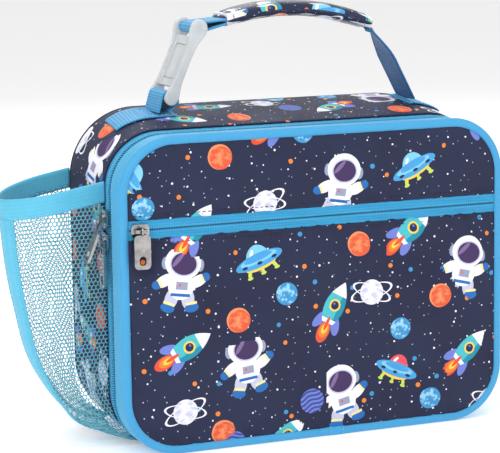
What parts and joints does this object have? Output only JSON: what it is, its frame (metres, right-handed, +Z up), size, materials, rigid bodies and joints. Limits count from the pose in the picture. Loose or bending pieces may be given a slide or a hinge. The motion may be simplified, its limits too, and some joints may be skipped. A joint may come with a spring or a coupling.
{
  "type": "insulated lunch bag",
  "caption": "Soft insulated lunch bag with a zip-round lid, a flat front pocket, a mesh bottle pocket on its side and a padded webbing handle with a clip.",
  "frame": {"origin": "middle of the flat base, halfway between the front print panel and the back panel", "axes": "+X along the width, with the mesh pocket on the -X side; +Y from front to back; +Z up"},
  "size_m": [0.3053, 0.1124, 0.2607],
  "materials": {
    "print_fabric": "woven polyester with a printed space pattern",
    "foam": "closed cell foam",
    "liner": "wipe-clean silver-grey liner",
    "blue_fabric": "plain woven trim fabric",
    "inner_binding": "woven seam binding",
    "zip_tape": "knitted tape",
    "zip_coil": "nylon coil",
    "piping_core": "soft cord",
    "mesh": "open hexagonal net",
    "webbing": "ribbed webbing",
    "nickel": "polished nickel plate",
    "clear_plastic": "frosted translucent plastic"
  },
  "bodies": {
    "shell": {"side_wrap": "print_fabric", "back_panel": "print_fabric", "base_panel": "print_fabric", "foam_top": "foam", "foam_left": "foam", "foam_right": "foam", "foam_base": "foam", "foam_back": "foam", "body_liner": "liner", "mouth_binding": "inner_binding", "body_zip_tape": "zip_tape", "body_zip_coil": "zip_coil", "zip_end_tabs": "blue_fabric", "pocket_mesh_front": "mesh", "pocket_mesh_back": "mesh", "pocket_rim_binding": "blue_fabric", "pocket_seam_binding": "blue_fabric", "anchor_left": "webbing", "anchor_right": "webbing", "loop_foot": "webbing", "strap_foot": "webbing"},
    "lid": {"lid_upper_panel": "print_fabric", "front_pocket_panel": "print_fabric", "pocket_lining": "liner", "pocket_zip_tape_upper": "zip_tape", "pocket_zip_tape_lower": "zip_tape", "pocket_zip_coil_upper": "zip_coil", "pocket_zip_coil_lower": "zip_coil", "lid_foam": "foam", "lid_rim_foam": "foam", "lid_liner": "liner", "lid_boxing": "blue_fabric", "piping_cover": "blue_fabric", "piping_cord": "piping_core", "lid_zip_tape": "zip_tape", "lid_zip_coil": "zip_coil", "lid_binding": "inner_binding"},
    "upper_slider": {"main_slider_upper": "nickel"},
    "upper_pull": {"main_pull_upper": "nickel"},
    "lower_slider": {"main_slider_lower": "nickel"},
    "lower_pull": {"main_pull_lower": "nickel"},
    "pocket_slider": {"pocket_slider": "nickel"},
    "pocket_pull": {"pocket_pull": "nickel"},
    "handle": {"handle_loop": "webbing", "strap_right": "webbing", "grip_cover": "print_fabric", "grip_foam": "foam", "grip_webbing": "webbing", "strap_left": "webbing", "clip_frame": "clear_plastic"},
    "clip_gate": {"clip_gate": "clear_plastic"}
  },
  "joints": [
    {"name": "lid_hinge", "type": "hinge", "parent": "shell", "child": "lid", "pos_m": [0, -0.051, 0.0029], "axis": [1, 0, 0], "range_deg": [0, 87]},
    {"name": "upper_slider_run", "type": "slide", "parent": "shell", "child": "upper_slider", "axis": [0, 0, 1], "range_m": [0, 0.012]},
    {"name": "upper_pull_swing", "type": "hinge", "parent": "upper_slider", "child": "upper_pull", "pos_m": [-0.1272, -0.029, 0.1399], "axis": [0, 1, 0], "range_deg": [0, 140]},
    {"name": "lower_slider_run", "type": "slide", "parent": "shell", "child": "lower_slider", "axis": [0, 0, -1], "range_m": [0, 0.08]},
    {"name": "lower_pull_swing", "type": "hinge", "parent": "lower_slider", "child": "lower_pull", "pos_m": [-0.1272, -0.029, 0.1262], "axis": [0, 1, 0], "range_deg": [0, 30]},
    {"name": "pocket_slider_run", "type": "slide", "parent": "lid", "child": "pocket_slider", "axis": [1, 0, 0], "range_m": [0, 0.205]},
    {"name": "pocket_pull_swing", "type": "hinge", "parent": "pocket_slider", "child": "pocket_pull", "pos_m": [-0.1125, -0.0578, 0.1355], "axis": [-1, 0, 0], "range_deg": [0, 170]},
    {"name": "handle_tilt", "type": "hinge", "parent": "shell", "child": "handle", "pos_m": [0, 0.012, 0.2], "axis": [1, 0, 0], "range_deg": [-20, 30]},
    {"name": "clip_gate_press", "type": "hinge", "parent": "handle", "child": "clip_gate", "pos_m": [-0.05935, 0.012, 0.236], "axis": [0, 1, 0], "range_deg": [-8, 0], "stiffness_Nm_per_rad": 0.05}
  ]
}
